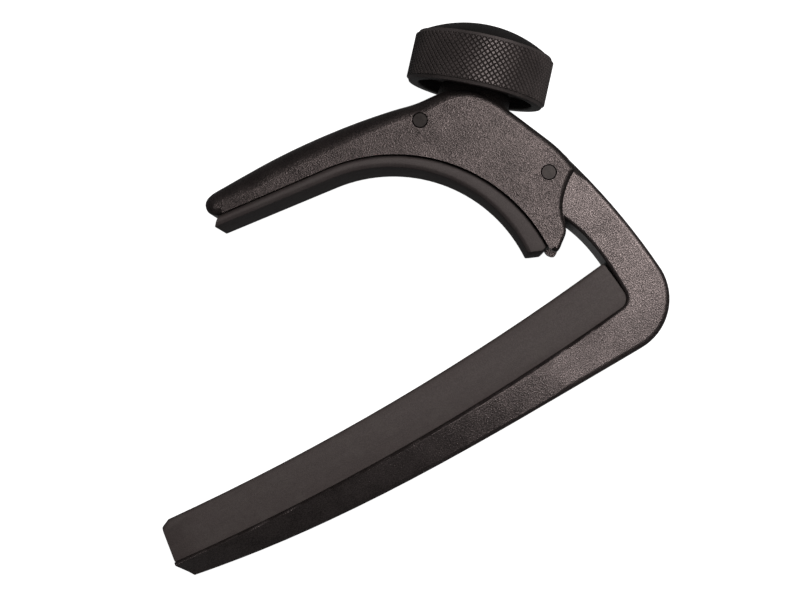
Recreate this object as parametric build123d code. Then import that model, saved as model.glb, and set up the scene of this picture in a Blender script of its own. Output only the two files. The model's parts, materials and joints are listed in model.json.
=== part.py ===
from build123d import *
from math import asin, atan2, cos, degrees, hypot, radians, sin, sqrt
import os

# Guitar capo of the screw-clamp kind, in millimetres.
# Frame: origin at the middle of the string pad's contact face, +X along the bar to the frame's corner,
# +Y from the string pad to the jaw, +Z across the thickness. The whole capo is symmetric about Z = 0.

# ---- widths across the thickness (Z)
FRAME_WIDTH = 9.0             # bar and back arm
CHEEK_PLAY = 0.15             # running gap between the frame's side and each cheek
CHEEK_WALL = 1.85             # thickness of each cheek of the jaw
STRING_PAD_INSET = 0.5        # the string pad's side stands in from the frame's side
JAW_PAD_INSET = 0.5           # the jaw pad's side stands in from the cheek's outer face

# ---- string bar and its pad
PAD_FACE_RADIUS = 318.0       # hollow contact face, lowest at the origin
PAD_DEPTH = 5.6               # contact face to the bar's seat
SEAT_SHIFT = 3.0              # the seat's lowest point along +X
BAR_TIP_X = -33.6             # free end of the bar, at the seat
PAD_TIP_STEP = 0.8            # how far the pad's end leans back over its height
PAD_TIP_CHAMFER = 1.1         # small corner cut at the pad's free end
BAR_DEPTH_TIP = 2.65          # seat to the outer edge at the free end
BAR_TIP_LEAN = 0.95           # the bar's end leans back by this much at its outer edge
BAR_TIP_LAND = 0.45           # the end is square to the seat for this depth, then leans
BAR_TIP_SPARE = 2.0           # the blank is longer by this, until its edges are rounded
BAR_OUTER_Y = -9.92           # lowest line of the bar
BAR_LOW_X = 20.0              # the outer line starts to rise here, towards the tip
BAR_RISE_POWER = 2.8
FACET_LAND = 0.35             # flat left between the seat and the twisting facet
FACET_TIP = 2.3               # how much the facet narrows the outer edge at the tip, each side
FACET_END_X = 20.0            # where the facet has run out
FACET_EDGE = 0.42             # bevel along the facet's outer edge, at its start
FACET_EDGE_TIP = 0.7          # and at the tip
CARRIER_HEIGHT = 1.3          # stiff strip under the string pad
CARRIER_SIDE = 1.2            # the strip's side stands in from the pad's side
CARRIER_END = 2.5             # the strip's ends stand in from the pad's ends
BAR_EDGE = 0.75               # rounding of the outer edges
INNER_EDGE = 0.4              # rounding of the back arm's inner edges

# ---- corner and back arm
INNER_WALL_X = 31.95          # inner wall at the pad
INNER_CORNER_R = 1.5
OUTER_WALL_X = 37.33          # outer wall at its widest
OUTER_CORNER_R = 7.13
ARM_BULGE = 0.53              # bow of the back arm's outer wall
WALL_LEAN = 0.95              # how far the inner wall leans in before it widens to the eye
WALL_LEAN_Y = 6.4             # height of that place

# ---- pivot of the jaw
PIVOT_X = 31.26
PIVOT_Y = 14.65
EYE_R = 3.15                  # the frame's eye
EYE_GAP = 0.35                # clearance of the jaw's web round the eye
PIN_R = 1.0                   # pivot pin and lever pin
PIN_RUN = 0.03                # running clearance on a pin
PIN_CHAMFER = 0.15
BUSH_WALL = 0.6
WASHER_R = 2.5
WASHER_THICK = 0.45
WASHER_SINK = 0.4
WASHER_GAP = 0.05             # round the washer in its recess

# ---- jaw, as offsets from the pivot
RAIL_CX = -26.27              # the pad line: an arc, then a straight run to the tip
RAIL_CY = -6.87
RAIL_R = 21.56
RAIL_START = -2.3
RAIL_END = 82.6
RAIL_RUN = 14.8
TIP_ROUND_X = -37.76          # where the rounded tip leaves the arm's outline
TIP_WALL = 1.6                # end wall of the hollow arm
ARM_TOP_X = -33.26            # highest point of the arm's outline
ARM_TOP_Y = 19.27
ARM_TOP_R = 85.0
ARM_END_X = -10.26            # where the arm meets the crown
CROWN_RISE = 0.4              # the crown's top stands this far under the knob
CROWN_LEFT = (-4.1, -1.5)     # crown outline, in the knob's axes
CROWN_RIGHT = (5.05, -1.95)
SHOULDER = (2.16, 3.29)
CHEEK_CORNER = (3.24, -1.2)
CHEEK_CURVE_A = (0.74, -2.9)
CHEEK_CURVE_B = (-1.06, -5.25)
CHEEK_CURVE_C = (-1.98, -7.5)
LOBE_SIDE = (-3.15, -8.45)
LOBE_BOTTOM = (-4.0, -8.93)
JAW_EDGE = 1.1                # rounding along the crown and the arm
CHEEK_EDGE = 0.75             # rounding of the cheek's curved end
LOBE_EDGE = 0.5               # and of the lobe under it
ARM_ROUND = 2.6               # wide rounding of the arm's back
ARM_START_ROUND = 1.7         # where the arm meets the tip
CROWN_START_ROUND = 1.9       # and where it meets the crown
TIP_EDGE = 1.0                # rounding round the tip
SPINE_WALL = 1.6              # web between the cheeks
WEB_END_Y = 3.6               # the web stops this far above the pivot

# ---- jaw pad, as offsets from the pivot
PAD_CX = -26.40
PAD_CY = -5.71
PAD_R = 19.1
PAD_START = -4.5
PAD_END = 82.0
PAD_TIP_X = -39.31
PAD_EDGE = 0.9
JAW_CARRIER = 0.9             # stiff strip over the jaw pad
JAW_CARRIER_GAP = 0.1
RELIEF_R = 2.3                # hole in the strip under the screw

# ---- knob and screw
KNOB_DX = -2.52               # centre of the knob's underside, from the pivot
KNOB_DY = 13.84
KNOB_TILT = 47.0              # the screw's axis above +X
KNOB_R = 9.0
KNOB_HEIGHT = 6.4
KNOB_EDGE = 0.35
RECESS_R = 7.5
RECESS_DEPTH = 1.35
DOME_RISE = 2.5
CAP_SINK = 1.0
CAP_RIM = 0.5
BOSS_R = 4.6
BOSS_RISE = 0.5
BOSS_TOP = 0.8                # metal left over the spring's pocket
THRUST_R = 4.2
THRUST_GAP = 0.05
SCREW_R = 1.25
SCREW_HOLE_GAP = 0.15
LEVER_HOLE_GAP = 0.8          # round the screw in the lever, which tilts on it
SEAT_HOLE_GAP = 0.6           # and in the spring's seat
SCREW_HEAD_R = 2.0
SCREW_HEAD = 1.6
STOP_R = 1.9
STOP_HEIGHT = 0.55
STOP_GAP = 0.1
STOP_SIDE_GAP = 0.2           # between the stop's rim and the lever

# ---- lever and barrel nut, in the knob's axes
LEVER_PIN_DX = -10.44
LEVER_PIN_DY = 13.74
NUT_DEPTH = 6.4               # the nut's axis under the knob
NUT_R = 1.8
NUT_RUN = 0.03
NUT_END_GAP = 0.6
LEVER_BOSS_R = 2.35
LEVER_EYE_R = 2.2
LEVER_SIDE_GAP = 0.1
LEVER_ROOF = 0.35             # the lever's end is cut level with the jaw's web
ROOF_SLOPE = 27.0
SEAT_TOP = 4.2                # the spring seat's underside under the knob
SEAT_THICK = 0.4
SPRING_OUT_R = 2.25
SPRING_WIRE = 0.4
SPRING_POCKET_GAP = 0.25
NOSE_P = 4.2                  # the tongue's nose on the lever
NOSE_DEPTH = 7.05
NOSE_R = 0.95
NOSE_GAP = 0.06
FINGER_SLOPE = 21.0
FINGER_THICK = 1.6
FINGER_END = 4.7
TONGUE_ROOT = (-1.3, 0.75)    # from the pivot, in the knob's axes
TONGUE_ROOT_R = 1.1
TONGUE_END = (0.15, 0.3)      # end of the tongue's bar, from the nose
TONGUE_END_R = 0.65

HALF_FRAME = FRAME_WIDTH / 2
HALF_GAP = HALF_FRAME + CHEEK_PLAY
HALF_JAW = HALF_GAP + CHEEK_WALL
FAR = 60.0


def jaw(dx, dy):
    """Point of the jaw from its offset to the pivot."""
    return (PIVOT_X + dx, PIVOT_Y + dy)


def knob(p, q):
    """Point from the knob's axes: p across the screw, q along it, from the knob's underside."""
    a = radians(KNOB_TILT)
    x = PIVOT_X + KNOB_DX + p * sin(a) + q * cos(a)
    y = PIVOT_Y + KNOB_DY - p * cos(a) + q * sin(a)
    return (x, y)


def in_knob_axes(x, y):
    """The p and q of a point."""
    a = radians(KNOB_TILT)
    dx = x - PIVOT_X - KNOB_DX
    dy = y - PIVOT_Y - KNOB_DY
    return (dx * sin(a) - dy * cos(a), dx * cos(a) + dy * sin(a))


def on_circle(cx, cy, r, angle):
    return (cx + r * cos(radians(angle)), cy + r * sin(radians(angle)))


def bowl(x, x0, y0, r):
    """Height at x of an arc whose lowest point is (x0, y0)."""
    return y0 + r - sqrt(r * r - (x - x0) ** 2)


def face_y(x):
    return bowl(x, 0.0, 0.0, PAD_FACE_RADIUS)


def seat_y(x):
    return bowl(x, SEAT_SHIFT, -PAD_DEPTH, PAD_FACE_RADIUS)


def face_of(*edges):
    return make_face(Wire(list(edges)))


def poly(*points):
    return make_face(Polyline(*points, close=True))


def disc(x, y, r):
    return Pos(x, y) * Circle(r)


def slab(face, half):
    """Extrudes a face to both sides of Z = 0."""
    return extrude(face, amount=half, both=True)


def band(face, z0, z1):
    return Pos(0, 0, z0) * extrude(face, amount=z1 - z0)


def rod(p0, p1, r):
    """Cylinder between two points of the plane Z = 0."""
    length = hypot(p1[0] - p0[0], p1[1] - p0[1])
    plane = Plane(origin=(p0[0], p0[1], 0), z_dir=(p1[0] - p0[0], p1[1] - p0[1], 0))
    return plane * Cylinder(r, length, align=(Align.CENTER, Align.CENTER, Align.MIN))


def axial(q0, q1, r):
    """Cylinder on the screw's axis from q0 to q1."""
    return rod(knob(0, q0), knob(0, q1), r)


def tangent_angle(r0, r1, d):
    """Angle from the line of centres to the radius where the outer tangent touches."""
    return 90 + degrees(asin((r1 - r0) / d))


def hull(c0, r0, c1, r1):
    """Outline round two circles."""
    d = hypot(c1[0] - c0[0], c1[1] - c0[1])
    run = degrees(atan2(c1[1] - c0[1], c1[0] - c0[0]))
    turn = tangent_angle(r0, r1, d)
    a0 = on_circle(*c0, r0, run + turn)
    a1 = on_circle(*c1, r1, run + turn)
    b0 = on_circle(*c0, r0, run - turn)
    b1 = on_circle(*c1, r1, run - turn)
    return disc(*c0, r0) + disc(*c1, r1) + poly(a0, a1, b1, b0)


def edges_at(solid, z, keep):
    """Edges lying in a plane z whose middle point passes the test keep(x, y)."""
    found = []
    for edge in solid.edges():
        low = edge.bounding_box().min.Z
        high = edge.bounding_box().max.Z
        middle = edge @ 0.5
        if abs(low - z) < 0.01 and abs(high - z) < 0.01 and keep(middle.X, middle.Y):
            found.append(edge)
    return found


# ------------------------------------------------------------------ frame
TIP_OUTER_X = BAR_TIP_X + BAR_TIP_LEAN
TIP_OUTER_Y = seat_y(BAR_TIP_X) - BAR_DEPTH_TIP


def outer_y(x):
    """Height of the bar's outer line."""
    run = max(0.0, (BAR_LOW_X - x) / (BAR_LOW_X - TIP_OUTER_X))
    return BAR_OUTER_Y + (TIP_OUTER_Y - BAR_OUTER_Y) * run ** BAR_RISE_POWER


def outer_slope(x):
    """Rise of the outer line towards the tip, for each millimetre."""
    length = BAR_LOW_X - TIP_OUTER_X
    return (TIP_OUTER_Y - BAR_OUTER_Y) / length * BAR_RISE_POWER * ((BAR_LOW_X - x) / length) ** (BAR_RISE_POWER - 1)


def frame_outline():
    """The bar, its corner and the back arm up to the eye. The bar is longer than its pad by the spare."""
    corner_x = INNER_WALL_X - INNER_CORNER_R
    seat_end = (corner_x, seat_y(corner_x))
    wall_start = (INNER_WALL_X, seat_end[1] + INNER_CORNER_R)
    corner_mid = on_circle(corner_x, wall_start[1], INNER_CORNER_R, -45)
    eye_left = on_circle(PIVOT_X, PIVOT_Y, EYE_R, 195)
    eye_right = on_circle(PIVOT_X, PIVOT_Y, EYE_R, 16.7)
    wall_end = (OUTER_WALL_X, BAR_OUTER_Y + OUTER_CORNER_R)
    lean = (INNER_WALL_X - WALL_LEAN, WALL_LEAN_Y)
    arm_mid = ((eye_right[0] + wall_end[0]) / 2 + ARM_BULGE, (eye_right[1] + wall_end[1]) / 2)
    round_mid = on_circle(OUTER_WALL_X - OUTER_CORNER_R, wall_end[1], OUTER_CORNER_R, -45)
    bottom_start = (OUTER_WALL_X - OUTER_CORNER_R, BAR_OUTER_Y)
    seat_start = (BAR_TIP_X - BAR_TIP_SPARE, seat_y(BAR_TIP_X - BAR_TIP_SPARE))
    last = TIP_OUTER_X - BAR_TIP_SPARE
    steps = 6
    run = [BAR_LOW_X + (last - BAR_LOW_X) * i / steps for i in range(steps + 1)]
    rise = [(x, outer_y(x)) for x in run]
    seat = ThreePointArc(seat_start, (SEAT_SHIFT, -PAD_DEPTH), seat_end)
    corner = ThreePointArc(seat_end, corner_mid, wall_start)
    wall = Spline(wall_start, lean, eye_left, tangents=[(0, 1), (-0.26, 0.97)])
    top = Line(eye_left, eye_right)
    arm = ThreePointArc(eye_right, arm_mid, wall_end)
    turn = ThreePointArc(wall_end, round_mid, bottom_start)
    flat = Line(bottom_start, rise[0])
    outer = Spline(*rise, tangents=[(-1, 0), (-1, outer_slope(last))])
    end = Line(rise[-1], seat_start)
    return face_of(*[line.edge() for line in (seat, corner, wall, top, arm, turn, flat, outer, end)])


def facet_section(x):
    """Section of the tool that cuts the twisting facet, in a plane x."""
    run = (FACET_END_X - x) / (FACET_END_X - BAR_TIP_X)
    width = FACET_TIP * run - 0.02
    high = seat_y(x) - FACET_LAND
    low = outer_y(x)
    edge = FACET_EDGE + (FACET_EDGE_TIP - FACET_EDGE) * run
    points = [
        (x, high, HALF_FRAME + 0.02),
        (x, low + edge, HALF_FRAME - width),
        (x, low - 2.0, HALF_FRAME - width - 2.0 - edge),
        (x, low - 2.0, HALF_FRAME + 3.0),
        (x, high, HALF_FRAME + 3.0),
    ]
    return make_face(Polyline(*points, close=True))


def on_outer_line(x, y):
    """True on the frame's outer outline, from the tip round the corner to the eye."""
    if x < OUTER_WALL_X - OUTER_CORNER_R:
        return abs(y - outer_y(x)) < 0.1
    if y < BAR_OUTER_Y + OUTER_CORNER_R:
        return hypot(x - OUTER_WALL_X + OUTER_CORNER_R, y - BAR_OUTER_Y - OUTER_CORNER_R) > OUTER_CORNER_R - 0.1
    return x > OUTER_WALL_X - 1.6 and y < PIVOT_Y


def on_inner_wall(x, y):
    return INNER_WALL_X - 3.0 < x < INNER_WALL_X + 0.1 and -PAD_DEPTH < y < PIVOT_Y - 2.0


def tip_cut():
    """Side view of what is sawn off the bar's free end."""
    x, y = BAR_TIP_X, seat_y(BAR_TIP_X)
    lean = asin((SEAT_SHIFT - x) / PAD_FACE_RADIUS)
    land = (x - BAR_TIP_LAND * sin(lean), y - BAR_TIP_LAND * cos(lean))
    dx = TIP_OUTER_X - land[0]
    dy = TIP_OUTER_Y - land[1]
    left = x - 4 * BAR_TIP_SPARE
    return poly(
        (x + PAD_DEPTH * sin(lean), y + PAD_DEPTH * cos(lean)),
        land,
        (land[0] + 2 * dx, land[1] + 2 * dy),
        (left, land[1] + 2 * dy),
        (left, y + PAD_DEPTH * cos(lean)),
    )


def frame_blank():
    """Bar, corner and back arm with the facet and the rounded edges."""
    body = slab(frame_outline(), HALF_FRAME)
    first = BAR_TIP_X - 2 * BAR_TIP_SPARE
    stations = [first, BAR_TIP_X * 0.6, BAR_TIP_X * 0.2, FACET_END_X * 0.4, FACET_END_X]
    tool = loft([facet_section(x) for x in stations])
    for side in (HALF_FRAME, -HALF_FRAME):
        body = fillet(edges_at(body, side, on_outer_line), BAR_EDGE)
        body = fillet(edges_at(body, side, on_inner_wall), INNER_EDGE)
    return body - tool - mirror(tool, about=Plane.XY) - slab(tip_cut(), FAR)


def carrier_outline():
    """Side view of the stiff strip under the string pad."""
    x0 = BAR_TIP_X + CARRIER_END
    x1 = INNER_WALL_X - CARRIER_END
    low = [(x, seat_y(x)) for x in (x0, SEAT_SHIFT, x1)]
    high = [(x, seat_y(x) + CARRIER_HEIGHT) for x in (x1, SEAT_SHIFT, x0)]
    edges = (ThreePointArc(*low), Line(low[2], high[0]), ThreePointArc(*high), Line(high[2], low[0]))
    return face_of(*[line.edge() for line in edges])


def make_frame():
    body = frame_blank()
    nose = knob(NOSE_P, -NOSE_DEPTH)
    root = knob(*[a + b for a, b in zip(in_knob_axes(PIVOT_X, PIVOT_Y), TONGUE_ROOT)])
    end = knob(NOSE_P + TONGUE_END[0], -NOSE_DEPTH + TONGUE_END[1])
    tongue = disc(PIVOT_X, PIVOT_Y, EYE_R) + hull(root, TONGUE_ROOT_R, end, TONGUE_END_R) + disc(*nose, NOSE_R)
    body = body + slab(tongue, HALF_FRAME)
    body = body - slab(disc(PIVOT_X, PIVOT_Y, PIN_R + PIN_RUN + BUSH_WALL), FAR)
    recess = disc(PIVOT_X, PIVOT_Y, WASHER_R + WASHER_GAP)
    body = body - band(recess, HALF_FRAME - WASHER_SINK, HALF_FRAME + 1)
    body = body - band(recess, -HALF_FRAME - 1, -HALF_FRAME + WASHER_SINK)
    return body


def string_pad_outline():
    """Side view of the rubber string pad."""
    corner_x = INNER_WALL_X - INNER_CORNER_R
    wall_y = seat_y(corner_x) + INNER_CORNER_R
    top_x = INNER_WALL_X - WALL_LEAN * 0.45
    tip_x = BAR_TIP_X + PAD_TIP_STEP
    tip_y = face_y(tip_x)
    seat_start = (BAR_TIP_X, seat_y(BAR_TIP_X))
    seat_end = (corner_x, seat_y(corner_x))
    corner_mid = on_circle(corner_x, wall_y, INNER_CORNER_R, -45)
    chamfer_low = (tip_x - PAD_TIP_STEP * 0.1, tip_y - PAD_TIP_CHAMFER * 0.55)
    chamfer_high = (tip_x + PAD_TIP_CHAMFER, face_y(tip_x + PAD_TIP_CHAMFER))
    top_end = (top_x, face_y(top_x))
    edges = (
        ThreePointArc(seat_start, (SEAT_SHIFT, -PAD_DEPTH), seat_end),
        ThreePointArc(seat_end, corner_mid, (INNER_WALL_X, wall_y)),
        Line((INNER_WALL_X, wall_y), top_end),
        ThreePointArc(top_end, (0, 0), chamfer_high),
        Line(chamfer_high, chamfer_low),
        Line(chamfer_low, seat_start),
    )
    return face_of(*[line.edge() for line in edges])


def make_string_pad(frame):
    half = HALF_FRAME - STRING_PAD_INSET
    pad = slab(string_pad_outline(), half) - frame
    return pad - make_string_pad_carrier()


def make_string_pad_carrier():
    return slab(carrier_outline(), HALF_FRAME - STRING_PAD_INSET - CARRIER_SIDE)


def make_pivot_bush():
    half = HALF_FRAME - WASHER_SINK
    ring = disc(PIVOT_X, PIVOT_Y, PIN_R + PIN_RUN + BUSH_WALL) - disc(PIVOT_X, PIVOT_Y, PIN_R + PIN_RUN)
    return slab(ring, half)


def make_pivot_washer(side):
    ring = disc(PIVOT_X, PIVOT_Y, WASHER_R) - disc(PIVOT_X, PIVOT_Y, PIN_R + PIN_RUN)
    washer = band(ring, HALF_FRAME - WASHER_SINK, HALF_FRAME - WASHER_SINK + WASHER_THICK)
    return washer if side > 0 else mirror(washer, about=Plane.XY)


def make_pin(x, y):
    """Straight pin with chamfered ends, flush with the cheeks."""
    pin = slab(disc(x, y, PIN_R), HALF_JAW)
    ends = [edge for edge in pin.edges().filter_by(GeomType.CIRCLE)]
    return chamfer(ends, PIN_CHAMFER)


# ------------------------------------------------------------------ jaw
def rail_edges(shift):
    """Arc and straight run of the pad line, moved outwards by shift."""
    cx, cy = jaw(RAIL_CX, RAIL_CY)
    r = RAIL_R + shift
    start = on_circle(cx, cy, r, RAIL_START)
    middle = on_circle(cx, cy, r, (RAIL_START + RAIL_END) / 2)
    bend = on_circle(cx, cy, r, RAIL_END)
    a = radians(RAIL_END + 90)
    tip = (bend[0] + RAIL_RUN * cos(a), bend[1] + RAIL_RUN * sin(a))
    return start, middle, bend, tip


def arm_point(dx):
    """Point on the arm's upper outline."""
    return jaw(dx, ARM_TOP_Y - ARM_TOP_R + sqrt(ARM_TOP_R ** 2 - (dx - ARM_TOP_X) ** 2))


def crown_curve():
    """Outer outline from the arm's end over the crown and down to the cheek's corner."""
    start = arm_point(ARM_END_X)
    slope = -asin((ARM_END_X - ARM_TOP_X) / ARM_TOP_R)
    points = [
        start,
        knob(*CROWN_LEFT),
        knob(0, -CROWN_RISE),
        knob(*CROWN_RIGHT),
        jaw(*SHOULDER),
        jaw(*CHEEK_CORNER),
    ]
    return Spline(*points, tangents=[(cos(slope), sin(slope)), (0.17, -0.985)])


def tip_curve():
    """Rounded tip of the jaw, tangent to the arm's outline."""
    tip = rail_edges(0)[3]
    high = arm_point(TIP_ROUND_X)
    slope = asin((TIP_ROUND_X - ARM_TOP_X) / ARM_TOP_R)
    return TangentArc(high, tip, tangent=(-cos(slope), sin(slope)))


def arm_curve():
    points = (arm_point(TIP_ROUND_X), arm_point((ARM_TOP_X + ARM_END_X) / 2), arm_point(ARM_END_X))
    return ThreePointArc(*points)


def cheek_end():
    """S-shaped end of the cheek and the lobe under it."""
    start = rail_edges(0)[0]
    offsets = (CHEEK_CORNER, CHEEK_CURVE_A, CHEEK_CURVE_B, CHEEK_CURVE_C, LOBE_SIDE, LOBE_BOTTOM)
    points = [jaw(*pair) for pair in offsets]
    return Spline(*points, start, tangents=[(-0.9, -0.43), (0.1, 1)])


def jaw_outline():
    start, middle, bend, tip = rail_edges(0)
    lines = (ThreePointArc(start, middle, bend), Line(bend, tip), tip_curve(), arm_curve(), crown_curve(), cheek_end())
    return face_of(*[line.edge() for line in lines])


def web_inside():
    """The web's inner outline, closed widely on the throat's side."""
    crown = crown_curve()
    steps = 16
    inner = []
    for i in range(steps + 1):
        point = crown @ (i / steps)
        run = crown % (i / steps)
        inner.append((point.X + run.Y * SPINE_WALL, point.Y - run.X * SPINE_WALL))
    first = crown % 0
    last = crown % 1
    cx, cy = jaw(ARM_TOP_X, ARM_TOP_Y - ARM_TOP_R)
    r = ARM_TOP_R - SPINE_WALL
    left = rail_edges(0)[3][0] + TIP_WALL
    left_high = (left, cy + sqrt(r * r - (left - cx) ** 2))
    mid_x = (left + inner[0][0]) / 2
    mid_high = (mid_x, cy + sqrt(r * r - (mid_x - cx) ** 2))
    arc = ThreePointArc(left_high, mid_high, inner[0])
    curve = Spline(*inner, tangents=[(first.X, first.Y), (last.X, last.Y)])
    rest = Polyline(inner[-1], (inner[-1][0], -FAR), (left, -FAR), left_high)
    return face_of(arc.edge(), curve.edge(), *rest.edges())


def on_pad_line(x, y):
    cx, cy = jaw(RAIL_CX, RAIL_CY)
    start, middle, bend, tip = rail_edges(0)
    near_arc = abs(hypot(x - cx, y - cy) - RAIL_R) < 0.05 and x > bend[0] - 0.1
    along = (y - bend[1]) * (tip[0] - bend[0]) - (x - bend[0]) * (tip[1] - bend[1])
    return near_arc or (x < bend[0] + 0.1 and abs(along) / RAIL_RUN < 0.05)


def station(line, t, r, ahead=0.0):
    """Place on a clockwise line for the rounding tool: point, outward normal, tangent and radius."""
    point = line @ t
    run = line % t
    return (point.X + ahead * run.X, point.Y + ahead * run.Y, -run.Y, run.X, r)


def rounding_section(x, y, nx, ny, r):
    """Section of a tool that rounds the edge between the side face and the outline's wall."""
    top = HALF_JAW + 0.01
    low = top - r

    def at(u, v):
        return (x + u * nx, y + u * ny, v)

    mid = (0.01 - r + r * cos(radians(45)), low + r * sin(radians(45)))
    arc = ThreePointArc(at(0.01 - r, top), at(*mid), at(0.01, low))
    rest = Polyline(at(0.01, low), at(1.2, low), at(1.2, top + 1.2), at(0.01 - r, top + 1.2), at(0.01 - r, top))
    return make_face(Wire([arc.edge(), *rest.edges()]))


def rounding_tool(stations):
    return loft([rounding_section(*place) for place in stations])


def between(t, t0, t1, r0, r1):
    """Radius that passes smoothly from r0 at t0 to r1 at t1."""
    run = min(1.0, max(0.0, (t - t0) / (t1 - t0)))
    return r0 + (r1 - r0) * run * run * (3 - 2 * run)


def back_stations():
    """The wide rounding of the arm runs out into the narrower one of the crown."""
    tip = tip_curve().edge().reversed()
    arm = arm_curve().edge()
    crown = crown_curve().edge()
    places = [station(tip, 0.0, TIP_EDGE, -0.6)]
    for t in (0.0, 0.33, 0.67):
        places.append(station(tip, t, between(t, 0.0, 1.0, TIP_EDGE, ARM_START_ROUND)))
    for step in range(16):
        t = step / 16
        r = between(t, 0.0, 0.2, ARM_START_ROUND, ARM_ROUND) - between(t, 0.5, 1.0, 0, ARM_ROUND - CROWN_START_ROUND)
        places.append(station(arm, t, r))
    for step in range(17):
        t = step / 16
        places.append(station(crown, t, between(t, 0.0, 0.35, CROWN_START_ROUND, JAW_EDGE)))
    return places + [station(crown, 1.0, JAW_EDGE, 1.5)]


def cheek_stations():
    end = cheek_end().edge()
    places = [station(end, 0.0, CHEEK_EDGE, -1.5)]
    places += [station(end, t / 16, CHEEK_EDGE) for t in range(0, 10)]
    places += [station(end, t / 32, LOBE_EDGE) for t in (22, 24, 26, 28, 30)]
    return places + [station(end, 1.0, LOBE_EDGE * 0.3)]


def web_cavity():
    """Space between the cheeks: under the web, and open round the frame's eye."""
    eye = disc(PIVOT_X, PIVOT_Y, EYE_R + EYE_GAP)
    x0, y0 = jaw(-3.2, -30)
    x1, y1 = jaw(12, WEB_END_Y)
    opening = poly((x0, y0), (x1, y0), (x1, y1), (PIVOT_X, y1), (x0, PIVOT_Y))
    return [slab(face, HALF_GAP) for face in (web_inside(), eye, opening)]


def make_jaw_shell():
    body = slab(jaw_outline(), HALF_JAW)
    for tool in (rounding_tool(back_stations()), rounding_tool(cheek_stations())):
        body = body - tool - mirror(tool, about=Plane.XY)
    body = body + axial(-CROWN_RISE - 3, BOSS_RISE, BOSS_R)
    for space in web_cavity():
        body = body - space
    body = body - axial(-FAR, BOSS_RISE + 1, SCREW_R + SCREW_HOLE_GAP)
    body = body - axial(-SEAT_TOP, BOSS_RISE - BOSS_TOP, SPRING_OUT_R + SPRING_POCKET_GAP)
    lx, ly = jaw(LEVER_PIN_DX, LEVER_PIN_DY)
    return body - slab(disc(lx, ly, PIN_R), FAR) - slab(disc(PIVOT_X, PIVOT_Y, PIN_R), FAR)


# ------------------------------------------------------------------ jaw pad
def pad_curve():
    """Exposed face of the jaw pad: an arc, then a straight run to the tip."""
    cx, cy = jaw(PAD_CX, PAD_CY)
    start = on_circle(cx, cy, PAD_R, PAD_START)
    middle = on_circle(cx, cy, PAD_R, (PAD_START + PAD_END) / 2)
    bend = on_circle(cx, cy, PAD_R, PAD_END)
    tip_x = PIVOT_X + PAD_TIP_X
    a = radians(PAD_END + 90)
    tip = (tip_x, bend[1] + (tip_x - bend[0]) * sin(a) / cos(a))
    return start, middle, bend, tip


def make_jaw_pad():
    r0, r1, r2, r3 = rail_edges(0)
    p0, p1, p2, p3 = pad_curve()
    heel = (p0[0] + 1.7, p0[1] - 0.75)
    edges = (
        ThreePointArc(r0, r1, r2),
        Line(r2, r3),
        Line(r3, p3),
        Line(p3, p2),
        ThreePointArc(p2, p1, p0),
        Line(p0, heel),
        Line(heel, r0),
    )
    half = HALF_JAW - JAW_PAD_INSET
    body = slab(face_of(*[line.edge() for line in edges]), half)
    for side in (half, -half):
        body = chamfer(edges_at(body, side, on_pad_face), PAD_EDGE * 0.5)
    return body


def on_pad_face(x, y):
    cx, cy = jaw(PAD_CX, PAD_CY)
    bend = pad_curve()[2]
    near_arc = x > bend[0] - 0.1 and abs(hypot(x - cx, y - cy) - PAD_R) < 0.05
    return near_arc or (x < bend[0] and y < bend[1] + 2.6 and y < rail_edges(0)[3][1] - 0.3)


def make_jaw_carrier():
    """Stiff strip in the jaw's hollow, on the back of the pad."""
    a0, a1, a2, a3 = rail_edges(0)
    b0, b1, b2, b3 = rail_edges(JAW_CARRIER)
    left = a3[0] + TIP_WALL + JAW_CARRIER_GAP
    run = (left - a2[0]) / (a3[0] - a2[0])
    low = (left, a2[1] + (a3[1] - a2[1]) * run)
    high = (left, b2[1] + (b3[1] - b2[1]) * (left - b2[0]) / (b3[0] - b2[0]))
    edges = (
        ThreePointArc(a0, a1, a2),
        Line(a2, low),
        Line(low, high),
        Line(high, b2),
        ThreePointArc(b2, b1, b0),
        Line(b0, a0),
    )
    body = slab(face_of(*[line.edge() for line in edges]), HALF_GAP - JAW_CARRIER_GAP)
    return body - axial(-FAR, -NUT_DEPTH, RELIEF_R)


# ------------------------------------------------------------------ lever, nut and screw
NUT_END = HALF_FRAME - NUT_END_GAP
LEVER_LOW = NUT_DEPTH + LEVER_BOSS_R


def finger_point(p, below=0.0):
    """Point on the finger's upper line, where the tongue's nose rests, or under it."""
    a = radians(FINGER_SLOPE)
    p0 = NOSE_P - (NOSE_R + NOSE_GAP) * sin(a)
    q0 = -NOSE_DEPTH - (NOSE_R + NOSE_GAP) * cos(a)
    return knob(p, q0 - (p - p0) * sin(a) / cos(a) - below)


def make_tension_lever():
    pin = jaw(LEVER_PIN_DX, LEVER_PIN_DY)
    nut = knob(0, -NUT_DEPTH)
    finger = poly(
        finger_point(0.0),
        finger_point(FINGER_END),
        finger_point(FINGER_END, FINGER_THICK),
        finger_point(1.2, FINGER_THICK),
        knob(0.0, -LEVER_LOW + 0.1),
    )
    outline = hull(pin, LEVER_EYE_R, nut, LEVER_BOSS_R) + finger
    body = slab(outline, HALF_GAP - LEVER_SIDE_GAP)
    above = Pos(*pin) * Rot(0, 0, ROOF_SLOPE + KNOB_TILT - 90) * (Pos(0, LEVER_ROOF + 5) * Rectangle(40, 10))
    body = body - slab(above, FAR)
    flat = poly(knob(-SPRING_OUT_R - 0.45, -SEAT_TOP), knob(4, -SEAT_TOP), knob(4, 0), knob(-SPRING_OUT_R - 0.45, 0))
    body = body - slab(flat, FAR)
    body = body - slab(disc(*pin, PIN_R + PIN_RUN), FAR)
    body = body - slab(disc(*nut, NUT_R + NUT_RUN), FAR)
    body = body - axial(-FAR, -LEVER_LOW, STOP_R + STOP_SIDE_GAP)
    return body - axial(-FAR, 0, SCREW_R + LEVER_HOLE_GAP)


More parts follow.
